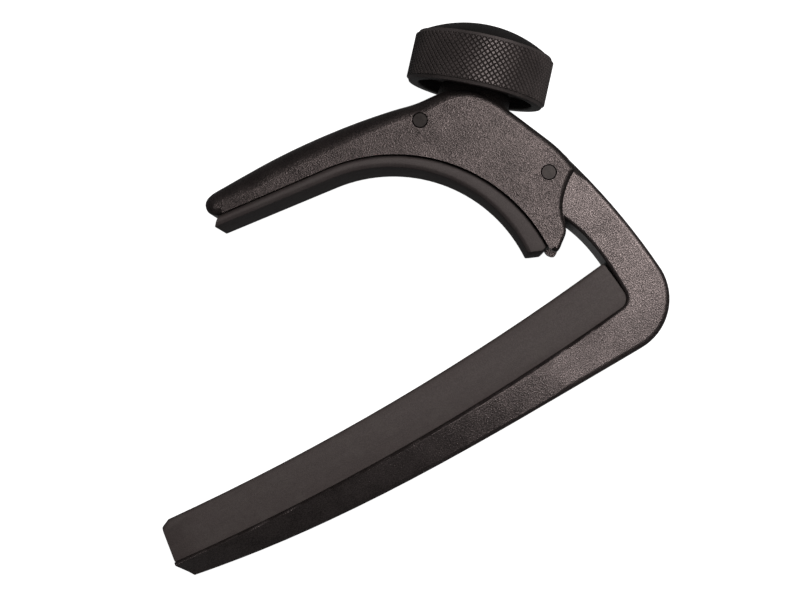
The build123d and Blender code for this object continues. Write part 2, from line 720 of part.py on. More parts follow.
def make_barrel_nut():
    nut = knob(0, -NUT_DEPTH)
    return slab(disc(*nut, NUT_R), NUT_END) - axial(-FAR, 0, SCREW_R + SCREW_HOLE_GAP)


SCREW_END = LEVER_LOW + STOP_GAP + STOP_HEIGHT
CEILING = RECESS_DEPTH
THRUST_THICK = CEILING - BOSS_RISE - THRUST_GAP


def make_adjusting_screw():
    shank = axial(-SCREW_END, CEILING + SCREW_HEAD, SCREW_R)
    return shank + axial(CEILING, CEILING + SCREW_HEAD, SCREW_HEAD_R)


def make_screw_stop():
    return axial(-SCREW_END, -SCREW_END + STOP_HEIGHT, STOP_R) - axial(-FAR, FAR, SCREW_R)


def make_thrust_washer():
    return axial(BOSS_RISE, BOSS_RISE + THRUST_THICK, THRUST_R) - axial(-FAR, FAR, SCREW_R + SCREW_HOLE_GAP)


def make_knob():
    body = axial(0, KNOB_HEIGHT, KNOB_R)
    body = chamfer(body.edges().filter_by(GeomType.CIRCLE), KNOB_EDGE)
    body = body - axial(-1, RECESS_DEPTH, RECESS_R)
    body = body - axial(KNOB_HEIGHT - CAP_SINK, KNOB_HEIGHT + 1, KNOB_R - CAP_RIM)
    body = body - axial(-1, CEILING + SCREW_HEAD, SCREW_R)
    return body - axial(CEILING, CEILING + SCREW_HEAD, SCREW_HEAD_R)


def make_knob_cap():
    """Smooth domed cap set in the knob's top."""
    r = KNOB_R - CAP_RIM
    dome_r = (r * r + DOME_RISE * DOME_RISE) / (2 * DOME_RISE)
    centre = knob(0, KNOB_HEIGHT + DOME_RISE - dome_r)
    ball = Pos(centre[0], centre[1], 0) * Sphere(dome_r)
    return axial(KNOB_HEIGHT - CAP_SINK, KNOB_HEIGHT + DOME_RISE + 1, r) & ball


def make_spring_seat():
    return axial(-SEAT_TOP, -SEAT_TOP + SEAT_THICK, SPRING_OUT_R) - axial(-FAR, FAR, SCREW_R + SEAT_HOLE_GAP)


def make_opening_spring():
    outer = axial(-SEAT_TOP + SEAT_THICK, BOSS_RISE - BOSS_TOP, SPRING_OUT_R)
    return outer - axial(-FAR, FAR, SPRING_OUT_R - SPRING_WIRE)


def build():
    frame = make_frame()
    return {
        "frame": frame,
        "string_pad": make_string_pad(frame),
        "string_pad_carrier": make_string_pad_carrier(),
        "pivot_bush": make_pivot_bush(),
        "pivot_washer_front": make_pivot_washer(1),
        "pivot_washer_back": make_pivot_washer(-1),
        "jaw_shell": make_jaw_shell(),
        "jaw_pad": make_jaw_pad(),
        "jaw_pad_carrier": make_jaw_carrier(),
        "pivot_pin": make_pin(PIVOT_X, PIVOT_Y),
        "lever_pin": make_pin(*jaw(LEVER_PIN_DX, LEVER_PIN_DY)),
        "thrust_washer": make_thrust_washer(),
        "tension_lever": make_tension_lever(),
        "spring_seat": make_spring_seat(),
        "barrel_nut": make_barrel_nut(),
        "knob": make_knob(),
        "knob_cap": make_knob_cap(),
        "adjusting_screw": make_adjusting_screw(),
        "screw_stop": make_screw_stop(),
        "opening_spring": make_opening_spring(),
    }


if __name__ == "__main__":
    os.makedirs("parts", exist_ok=True)
    for node, solid in build().items():
        export_step(solid, "parts/" + node + ".step")
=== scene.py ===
import json
import logging
from dataclasses import dataclass, field
from enum import Enum
from math import pi, radians, sqrt
from typing import Callable, Mapping, Optional, Sequence, Union

import bmesh
import bpy
from mathutils import Matrix, Vector


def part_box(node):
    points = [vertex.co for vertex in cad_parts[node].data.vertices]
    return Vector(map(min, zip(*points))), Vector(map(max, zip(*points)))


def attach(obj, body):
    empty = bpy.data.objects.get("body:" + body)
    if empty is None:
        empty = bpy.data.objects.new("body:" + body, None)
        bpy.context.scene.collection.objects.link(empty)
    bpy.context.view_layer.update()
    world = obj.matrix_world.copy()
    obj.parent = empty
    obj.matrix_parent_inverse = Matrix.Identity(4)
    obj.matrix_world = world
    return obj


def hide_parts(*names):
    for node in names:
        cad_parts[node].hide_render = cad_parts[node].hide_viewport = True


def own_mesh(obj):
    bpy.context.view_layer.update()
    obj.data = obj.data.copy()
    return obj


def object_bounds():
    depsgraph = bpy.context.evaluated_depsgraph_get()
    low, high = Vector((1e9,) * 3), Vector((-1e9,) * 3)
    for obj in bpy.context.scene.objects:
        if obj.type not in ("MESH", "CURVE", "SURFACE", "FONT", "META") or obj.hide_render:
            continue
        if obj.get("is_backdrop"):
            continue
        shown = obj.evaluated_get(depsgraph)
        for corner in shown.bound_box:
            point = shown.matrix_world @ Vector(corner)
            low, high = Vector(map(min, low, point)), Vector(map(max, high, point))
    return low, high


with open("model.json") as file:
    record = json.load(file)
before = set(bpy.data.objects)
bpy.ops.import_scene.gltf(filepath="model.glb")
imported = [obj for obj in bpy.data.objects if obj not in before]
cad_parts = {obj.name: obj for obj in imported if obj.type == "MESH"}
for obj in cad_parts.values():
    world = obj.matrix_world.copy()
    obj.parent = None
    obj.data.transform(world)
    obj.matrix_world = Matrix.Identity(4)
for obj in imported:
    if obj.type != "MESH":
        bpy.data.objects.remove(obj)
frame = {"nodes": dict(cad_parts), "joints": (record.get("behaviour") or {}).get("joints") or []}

log = logging.getLogger("capo")

MM = 0.001
SLACK = 0.02 * MM             # hairline left between neighbours
MERGE = 0.002 * MM            # points closer than this are one
Colour = tuple[float, float, float]
Point = tuple[float, float, float]


class Body(Enum):
    """The moving groups of the capo."""

    FRAME = "frame"
    JAW = "jaw"
    LEVER = "lever"
    NUT = "nut"
    KNOB = "knob"


class Part(Enum):
    """What a selection in edit mode is made of."""

    FACES = "FACE"
    EDGES = "EDGE"


# ---------------------------------------------------------------- material maths
Value = Union["Link", float, int, Sequence[float]]


class Link:
    """A node's output, whose arithmetic adds Math nodes to the material."""

    def __init__(self, bench: "Bench", socket: bpy.types.NodeSocket) -> None:
        """Wrap one output socket of a node on the bench."""
        self.bench = bench
        self.socket = socket

    def _math(self, operation: str, first: Value, second: Value) -> "Link":
        """Join two values with a Math node."""
        return self.bench.add("ShaderNodeMath", {"operation": operation}, {0: first, 1: second})

    def __add__(self, other: Value) -> "Link":
        """This value plus another."""
        return self._math("ADD", self, other)

    def __radd__(self, other: Value) -> "Link":
        """Another value plus this one."""
        return self._math("ADD", other, self)

    def __sub__(self, other: Value) -> "Link":
        """This value less another."""
        return self._math("SUBTRACT", self, other)

    def __rsub__(self, other: Value) -> "Link":
        """Another value less this one."""
        return self._math("SUBTRACT", other, self)

    def __mul__(self, other: Value) -> "Link":
        """This value times another."""
        return self._math("MULTIPLY", self, other)

    def __rmul__(self, other: Value) -> "Link":
        """Another value times this one."""
        return self._math("MULTIPLY", other, self)

    def ramp(self, low: float, high: float) -> "Link":
        """Rise smoothly from 0 at low to 1 at high.

        Args:
            low: Value where the rise starts.
            high: Value where it ends.

        Returns:
            A value from 0 to 1.
        """
        settings = {"interpolation_type": "SMOOTHSTEP"}
        return self.bench.add("ShaderNodeMapRange", settings, {0: self, 1: low, 2: high, 3: 0.0, 4: 1.0})


class Bench:
    """One material and the nodes laid out on it."""

    def __init__(self, name: str) -> None:
        """Start a material with nothing but its shader and output."""
        self.material = bpy.data.materials.new(name)
        self.material.use_nodes = True
        self.tree = self.material.node_tree
        self.tree.nodes.clear()
        self.shader = self.tree.nodes.new("ShaderNodeBsdfPrincipled")
        output = self.tree.nodes.new("ShaderNodeOutputMaterial")
        self.tree.links.new(self.shader.outputs[0], output.inputs[0])

    def add(
        self,
        kind: str,
        settings: Optional[Mapping[str, object]] = None,
        values: Optional[Mapping[Union[int, str], Value]] = None,
        out: Union[int, str] = 0,
    ) -> Link:
        """Place a node, set it up and feed its sockets.

        Args:
            kind: Blender's type name of the node.
            settings: The node's own settings, which are made before its sockets are fed.
            values: A number, colour or link for each socket, by index or name.
            out: The output that the returned link reads.

        Returns:
            The node's output.
        """
        node = self.tree.nodes.new(kind)
        for key, setting in (settings or {}).items():
            setattr(node, key, setting)
        for key, value in (values or {}).items():
            self.feed(node.inputs[key], value)
        return Link(self, node.outputs[out])

    def feed(self, socket: bpy.types.NodeSocket, value: Value) -> None:
        """Give a socket a number, a colour or a link."""
        if isinstance(value, Link):
            self.tree.links.new(value.socket, socket)
        elif socket.type == "RGBA" and len(value) == 3:
            socket.default_value = (*value, 1.0)
        else:
            socket.default_value = value

    def place(self) -> Link:
        """Object coordinates, in metres in the capo's frame."""
        return self.add("ShaderNodeTexCoord", out="Object")

    def noise(
        self, size: float, detail: float = 2.0, rough: float = 0.55, stretch: Point = (1, 1, 1)
    ) -> Link:
        """Noise whose features are about one size.

        Args:
            size: Width of a feature in metres.
            detail: Octaves of finer noise.
            rough: Strength of each finer octave.
            stretch: Scale along each axis, for a drawn or brushed look.

        Returns:
            A value around 0.5.
        """
        grid = self.add("ShaderNodeMapping", None, {"Vector": self.place(), "Scale": stretch})
        values = {"Vector": grid, "Scale": 1.0 / size, "Detail": detail, "Roughness": rough}
        return self.add("ShaderNodeTexNoise", None, values)

    def tint(self, factor: Value, first: Value, second: Value) -> Link:
        """Blend two colours.

        Args:
            factor: 0 gives the first and 1 the second.
            first: Colour at 0.
            second: Colour at 1.

        Returns:
            The blended colour.
        """
        return self.add("ShaderNodeMix", {"data_type": "RGBA"}, {0: factor, 6: first, 7: second}, out=2)

    def bump(self, height: Link, depth: float, strength: float = 1.0) -> Link:
        """Turn a height into a shading normal.

        Args:
            height: Height from 0 to 1.
            depth: What a height of 1 measures, in metres.
            strength: Share of the effect.

        Returns:
            The bumped normal.
        """
        values = {"Height": height, "Distance": depth, "Strength": strength}
        return self.add("ShaderNodeBump", None, values, "Normal")

    def set(self, **values: Value) -> None:
        """Feed the shader's sockets by name, with _ for a space."""
        for key, value in values.items():
            self.feed(self.shader.inputs[key.replace("_", " ")], value)


# ---------------------------------------------------------------- finishes
@dataclass(frozen=True)
class PowderCoat:
    """Fine matte coat on cast metal, with a grain that catches the light."""

    name: str
    tone: Colour
    grain: float = 0.16 * MM
    gloss: float = 0.28
    metal: float = 0.88
    depth: float = 0.022 * MM
    contrast: float = 0.6

    def material(self) -> bpy.types.Material:
        """Lay out the nodes.

        Returns:
            The finished material.
        """
        bench = Bench(self.name)
        grain = bench.noise(self.grain, 3.0, 0.65).ramp(0.32, 0.7)
        cloud = bench.noise(3.2 * MM, 2.0).ramp(0.3, 0.7)
        spark = bench.noise(self.grain * 1.7, 1.0).ramp(0.62, 0.74)
        dark = tuple(c * (1.0 - self.contrast) for c in self.tone)
        light = tuple(c * (1.0 + self.contrast) for c in self.tone)
        shade = grain * 0.75 + cloud * 0.25
        bench.set(
            Base_Color=bench.tint(shade, dark, light),
            Metallic=self.metal,
            Roughness=self.gloss + 0.12 * (1.0 - grain) - 0.1 * spark,
            Normal=bench.bump(grain + spark * 0.5, self.depth, 0.6),
        )
        return bench.material


@dataclass(frozen=True)
class MouldedRubber:
    """Dense matte rubber with a dusty bloom and shallow mould marks."""

    name: str
    tone: Colour
    bloom: Colour
    roughness: float = 0.74

    def material(self) -> bpy.types.Material:
        """Lay out the nodes.

        Returns:
            The finished material.
        """
        bench = Bench(self.name)
        pores = bench.noise(0.14 * MM, 3.0, 0.6).ramp(0.3, 0.72)
        dust = bench.noise(1.6 * MM, 3.0, 0.6).ramp(0.42, 0.78)
        drag = bench.noise(0.5 * MM, 2.0, 0.5, (0.12, 1.0, 1.0)).ramp(0.35, 0.7)
        base = bench.tint(pores * 0.55 + drag * 0.2, self.tone, tuple(c * 1.55 for c in self.tone))
        bench.set(
            Base_Color=bench.tint(dust * 0.3, base, self.bloom),
            Roughness=self.roughness + 0.1 * dust - 0.08 * pores,
            Normal=bench.bump(pores + 0.3 * drag, 0.018 * MM, 0.55),
            Specular_IOR_Level=0.35,
        )
        return bench.material


@dataclass(frozen=True)
class TurnedSteel:
    """Bare or blackened metal with fine tool marks round an axis, darkened towards its rim by a painted
    shade ring.
    """

    name: str
    tone: Colour
    centre: Point
    along: Point
    rim: float
    pitch: float = 0.09 * MM
    roughness: float = 0.3
    metal: float = 1.0
    # share of the tone left in the painted shade ring at the rim
    painted_rim_shade: float = 0.12

    def material(self) -> bpy.types.Material:
        """Lay out the nodes. Distances are taken square to the axis.

        Returns:
            The finished material.
        """
        bench = Bench(self.name)
        offset = {0: bench.place(), 1: self.centre}
        away = bench.add("ShaderNodeVectorMath", {"operation": "SUBTRACT"}, offset)
        cross = bench.add("ShaderNodeVectorMath", {"operation": "CROSS_PRODUCT"}, {0: away, 1: self.along})
        radius = bench.add("ShaderNodeVectorMath", {"operation": "LENGTH"}, {0: cross}, out="Value")
        wave = radius * (2 * pi / self.pitch)
        rings = bench.add("ShaderNodeMath", {"operation": "SINE"}, {0: wave}) * 0.5 + 0.5
        smear = bench.noise(0.3 * MM, 3.0, 0.6).ramp(0.35, 0.7)
        # painted shade: the colour darkens in a ring near the rim, where the end meets the hole round it
        edge = radius.ramp(self.rim * 0.8, self.rim * 0.97)
        body = bench.tint(smear * 0.5, self.tone, tuple(c * 0.72 for c in self.tone))
        bench.set(
            Base_Color=bench.tint(edge, body, tuple(c * self.painted_rim_shade for c in self.tone)),
            Metallic=self.metal,
            Roughness=self.roughness + 0.12 * smear + 0.15 * edge,
            Normal=bench.bump(rings * 0.6 + smear * 0.4, 0.004 * MM, 0.5),
        )
        return bench.material


@dataclass(frozen=True)
class DrawnMetal:
    """Plain metal with a drawn or stamped surface and a soft variation."""

    name: str
    tone: Colour
    roughness: float = 0.34
    metal: float = 1.0

    def material(self) -> bpy.types.Material:
        """Lay out the nodes.

        Returns:
            The finished material.
        """
        bench = Bench(self.name)
        streak = bench.noise(0.35 * MM, 3.0, 0.6, (0.15, 1.0, 1.0)).ramp(0.3, 0.7)
        stain = bench.noise(1.3 * MM, 2.0).ramp(0.4, 0.75)
        bench.set(
            Base_Color=bench.tint(streak * 0.5 + stain * 0.3, self.tone, tuple(c * 0.62 for c in self.tone)),
            Metallic=self.metal,
            Roughness=self.roughness + 0.14 * streak + 0.08 * stain,
            Normal=bench.bump(streak, 0.006 * MM, 0.5),
        )
        return bench.material


@dataclass(frozen=True)
class FilledNylon:
    """Stiff moulded plastic with a slight orange-peel surface."""

    name: str
    tone: Colour

    def material(self) -> bpy.types.Material:
        """Lay out the nodes.

        Returns:
            The finished material.
        """
        bench = Bench(self.name)
        peel = bench.noise(0.4 * MM, 2.0).ramp(0.3, 0.7)
        bench.set(
            Base_Color=bench.tint(peel * 0.4, self.tone, tuple(c * 1.3 for c in self.tone)),
            Roughness=0.5 + 0.12 * peel,
            Normal=bench.bump(peel, 0.01 * MM, 0.4),
        )
        return bench.material


@dataclass(frozen=True)
class PaperFloor:
    """Seamless white paper under the object."""

    name: str = "white_paper"

    def material(self) -> bpy.types.Material:
        """Lay out the nodes.

        Returns:
            The finished material.
        """
        bench = Bench(self.name)
        fibre = bench.noise(0.8 * MM, 2.0).ramp(0.3, 0.7)
        white = bench.tint(fibre, (0.28, 0.28, 0.28), (0.3, 0.3, 0.3))
        bench.set(Base_Color=white, Roughness=0.9, Emission_Color=(1.0, 1.0, 1.0), Emission_Strength=1.0)
        return bench.material


def paint(piece: bpy.types.Object, material: bpy.types.Material) -> None:
    """Put one material on every slot of a piece."""
    if not piece.material_slots:
        piece.data.materials.append(material)
    for slot in piece.material_slots:
        slot.material = material


def dress_node(name: str, material: bpy.types.Material) -> None:
    """Give a carried-over node its own material."""
    paint(frame["nodes"][name], material)
    log.info("%s: dressed in %s", name, material.name)


# ---------------------------------------------------------------- modelling
class Workpiece:
    """One new piece, shaped in edit mode and finished with applied modifiers."""

    def __init__(self, piece: bpy.types.Object, name: str) -> None:
        """Take over an object and name it with its mesh."""
        piece.name = name
        piece.data.name = name
        self.piece = piece

    @classmethod
    def cylinder(cls, name: str, radius: float, low: float, high: float, sides: int) -> "Workpiece":
        """Start from a cylinder on the Z axis.

        Args:
            name: The piece's name.
            radius: Radius in metres.
            low: Height of its lower end.
            high: Height of its upper end.
            sides: Number of flat sides.

        Returns:
            The new piece.
        """
        bpy.ops.object.select_all(action="DESELECT")
        centre = (0, 0, (low + high) / 2)
        bpy.ops.mesh.primitive_cylinder_add(vertices=sides, radius=radius, depth=high - low, location=centre)
        work = cls(bpy.context.object, name)
        work.settle()
        return work

    @classmethod
    def ring_section(cls, name: str, wire: float, radius: float, height: float, sides: int) -> "Workpiece":
        """Start from the round section of a wire, standing beside the Z axis.

        Args:
            name: The piece's name.
            wire: Radius of the wire.
            radius: Distance of its centre from the Z axis.
            height: Height of its centre.
            sides: Number of sides of the section.

        Returns:
            The new piece.
        """
        bpy.ops.object.select_all(action="DESELECT")
        place = {"location": (radius, 0, height), "rotation": (pi / 2, 0, 0)}
        bpy.ops.mesh.primitive_circle_add(vertices=sides, radius=wire, fill_type="NOTHING", **place)
        work = cls(bpy.context.object, name)
        work.settle()
        return work

    @classmethod
    def thread_section(cls, name: str, root: float, crest: float, pitch: float, low: float) -> "Workpiece":
        """Start from the section of one thread ridge, beside the Z axis.

        Args:
            name: The piece's name.
            root: Radius under the ridge.
            crest: Radius on the ridge.
            pitch: Width of one turn.
            low: Height of the section's centre.

        Returns:
            The new piece.
        """
        bpy.ops.object.select_all(action="DESELECT")
        place = {"location": ((root + crest) / 2, 0, low), "rotation": (pi / 2, 0, 0)}
        bpy.ops.mesh.primitive_plane_add(size=1.0, **place)
        work = cls(bpy.context.object, name)
        work.piece.scale = (crest - root, pitch * 0.88, 1.0)
        work.settle()
        work.edit(Part.EDGES)
        work.pick_edges(lambda a, b: min(a.x, b.x) > (root + crest) / 2)
        bpy.ops.transform.resize(value=(1, 1, 0.16), center_override=(crest, 0, low))
        work.done()
        return work

    @classmethod
    def like_node(cls, name: str, node: str) -> "Workpiece":
        """Start from a merged copy of a soft node's solid, with its flat faces made whole.

        Args:
            name: The piece's name.
            node: The node to copy.

        Returns:
            The new piece.
        """
        bpy.ops.object.select_all(action="DESELECT")
        source = frame["nodes"][node]
        piece = bpy.data.objects.new(name, source.data.copy())
        bpy.context.scene.collection.objects.link(piece)
        work = cls(piece, name)
        work.edit(Part.FACES)
        bpy.ops.mesh.select_all(action="SELECT")
        bpy.ops.mesh.customdata_custom_splitnormals_clear()
        bpy.ops.mesh.remove_doubles(threshold=MERGE)
        bpy.ops.mesh.dissolve_limited(angle_limit=radians(0.4))
        bpy.ops.mesh.normals_make_consistent(inside=False)
        work.done()
        return work

    def activate(self) -> None:
        """Make this the only selected object."""
        if bpy.context.object and bpy.context.object.mode != "OBJECT":
            bpy.ops.object.mode_set(mode="OBJECT")
        bpy.ops.object.select_all(action="DESELECT")
        self.piece.select_set(True)
        bpy.context.view_layer.objects.active = self.piece

    def settle(self) -> None:
        """Move the object's place, turn and scale into its mesh."""
        self.activate()
        bpy.ops.object.transform_apply(location=True, rotation=True, scale=True)

    def edit(self, part: Part) -> None:
        """Enter edit mode with nothing selected."""
        self.activate()
        bpy.ops.object.mode_set(mode="EDIT")
        bpy.ops.mesh.select_mode(type=part.value)
        bpy.ops.mesh.select_all(action="DESELECT")

    def done(self) -> None:
        """Leave edit mode."""
        bpy.ops.object.mode_set(mode="OBJECT")

    def pick_faces(self, test: Callable[[Vector, Vector], bool]) -> None:
        """Select the faces that pass a test of their centre and normal.

        Args:
            test: Takes the centre and the normal.
        """
        bpy.ops.mesh.select_all(action="DESELECT")
        mesh = bmesh.from_edit_mesh(self.piece.data)
        for face in mesh.faces:
            if test(face.calc_center_median(), face.normal):
                face.select_set(True)
        mesh.select_flush_mode()
        bmesh.update_edit_mesh(self.piece.data)

    def pick_edges(self, test: Callable[[Vector, Vector], bool]) -> None:
        """Select the edges whose two ends pass a test.

        Args:
            test: Takes the places of the two ends.
        """
        bpy.ops.mesh.select_all(action="DESELECT")
        mesh = bmesh.from_edit_mesh(self.piece.data)
        for edge in mesh.edges:
            if test(edge.verts[0].co, edge.verts[1].co):
                edge.select_set(True)
        mesh.select_flush_mode()
        bmesh.update_edit_mesh(self.piece.data)

    def step(self, rise: float, scale: float = 1.0) -> None:
        """Extrude the selected cap along Z and scale it about the axis.

        Args:
            rise: How far it moves.
            scale: Its new size as a share of the old one.
        """
        bpy.ops.mesh.extrude_region_move(TRANSFORM_OT_translate={"value": (0, 0, rise)})
        if scale != 1.0:
            bpy.ops.transform.resize(value=(scale, scale, 1.0), center_override=(0, 0, 0))

    def modify(self, kind: str, **settings: object) -> None:
        """Add a modifier and apply it.

        Args:
            kind: Blender's name of the modifier.
            settings: Its settings.
        """
        self.activate()
        modifier = self.piece.modifiers.new(kind.lower(), kind)
        for key, value in settings.items():
            setattr(modifier, key, value)
        bpy.ops.object.modifier_apply(modifier=modifier.name)

    def close_ends(self) -> None:
        """Fill open ends and turn every face outwards."""
        self.edit(Part.EDGES)
        bpy.ops.mesh.select_all(action="SELECT")
        bpy.ops.mesh.fill_holes(sides=0)
        bpy.ops.mesh.select_all(action="SELECT")
        bpy.ops.mesh.normals_make_consistent(inside=False)
        self.done()

    def join(self, other: "Workpiece") -> None:
        """Merge another piece into this one."""
        self.activate()
        other.piece.select_set(True)
        bpy.ops.object.join()

    def smooth(self, angle: float) -> None:
        """Shade smooth across edges up to an angle in degrees."""
        self.activate()
        bpy.ops.object.shade_smooth_by_angle(angle=radians(angle))

    def stand(self, place: Matrix) -> None:
        """Carry the piece from its own axes into the capo's frame."""
        self.piece.matrix_world = place
        self.settle()

    def fit(
        self, body: Body, nodes: Sequence[str], slot: str, material: bpy.types.Material
    ) -> bpy.types.Object:
        """Hand the piece over to the moving model.

        Args:
            body: The group it moves with.
            nodes: The nodes it stands for.
            slot: The record's material slot; not used.
            material: Its finish.

        Returns:
            The finished object.
        """
        paint(self.piece, material)
        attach(self.piece, body.value)
        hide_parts(*nodes)
        log.info("%s: %d faces, rides on %s", self.piece.name, len(self.piece.data.polygons), body.value)
        return self.piece


# ---------------------------------------------------------------- shared places
def joint(name: str) -> Mapping[str, object]:
    """Look up a joint by name."""
    return next(j for j in frame["joints"] if j["name"] == name)


def screw_place() -> Matrix:
    """Axes whose origin is the middle of the knob's underside and whose Z runs out along the screw.

    Returns:
        The matrix from those axes to the capo's frame.
    """
    spin = joint("knob_spin")
    along = -Vector(spin["axis"]).normalized()
    turn = along.to_track_quat("Z", "Y").to_matrix().to_4x4()
    return Matrix.Translation(Vector(spin["pos_m"])) @ turn


# ---------------------------------------------------------------- sub-assemblies
@dataclass
class StringBar:
    """The frame with its bar, corner and back arm, and the rubber that meets the strings."""

    crown: float = 0.62 * MM
    seat_level: float = -1.2 * MM
    edge: float = 0.16 * MM
    tone: Colour = (0.072, 0.059, 0.058)
    rubber: Colour = (0.036, 0.0275, 0.0265)

    def dress_frame(self) -> None:
        """Coat the frame and finish what is pressed into it."""
        dress_node("frame", PowderCoat("frame_coat", self.tone).material())
        dress_node("string_pad_carrier", FilledNylon("carrier_nylon", (0.03, 0.03, 0.03)).material())

    def make_pad(self) -> bpy.types.Object:
        """Mould the string pad, with rounded long edges on its contact face.

        Returns:
            The pad.
        """
        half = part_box("string_pad")[1].z - SLACK
        pad = Workpiece.like_node("string_pad_rubber", "string_pad")
        pad.edit(Part.EDGES)

        def rim(a: Vector, b: Vector) -> bool:
            """Whether an edge runs along one side of the contact face."""
            outer = min(abs(a.z), abs(b.z)) > half and a.z * b.z > 0
            return outer and min(a.y, b.y) > self.seat_level

        pad.pick_edges(rim)
        bpy.ops.mesh.bevel(offset=self.crown, segments=4, profile=0.5, clamp_overlap=True)
        pad.done()
        pad.modify("BEVEL", width=self.edge, segments=2, limit_method="ANGLE", angle_limit=radians(32))
        pad.smooth(34)
        rubber = MouldedRubber("string_rubber", self.rubber, (0.075, 0.066, 0.062)).material()
        piece = pad.fit(Body.FRAME, ["string_pad"], "string_rubber", rubber)
        return piece


@dataclass
class PaddedJaw:
    """The curved jaw with its rubber and the two pins."""

    edge: float = 0.14 * MM
    tone: Colour = (0.050, 0.0405, 0.0395)
    rubber: Colour = (0.036, 0.028, 0.0275)
    pin: Colour = (0.032, 0.028, 0.027)

    def dress_shell(self) -> None:
        """Coat the shell and finish the strip behind the rubber."""
        dress_node("jaw_shell", PowderCoat("jaw_coat", self.tone).material())
        dress_node("jaw_pad_carrier", FilledNylon("jaw_carrier_nylon", (0.03, 0.03, 0.03)).material())

    def dress_pins(self) -> None:
        """Give each pin its turned end, with a painted shade ring round it where the pin meets its hole."""
        for node in ("pivot_pin", "lever_pin"):
            low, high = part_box(node)
            centre = tuple((low + high) / 2)
            steel = TurnedSteel(node + "_steel", self.pin, centre, (0, 0, 1), high.x - centre[0])
            dress_node(node, steel.material())

    def make_pad(self) -> bpy.types.Object:
        """Mould the jaw's rubber.

        Returns:
            The pad.
        """
        pad = Workpiece.like_node("jaw_pad_rubber", "jaw_pad")
        pad.modify("BEVEL", width=self.edge, segments=2, limit_method="ANGLE", angle_limit=radians(30))
        pad.smooth(34)
        rubber = MouldedRubber("jaw_rubber", self.rubber, (0.06, 0.053, 0.05)).material()
        piece = pad.fit(Body.JAW, ["jaw_pad"], "jaw_rubber", rubber)
        return piece


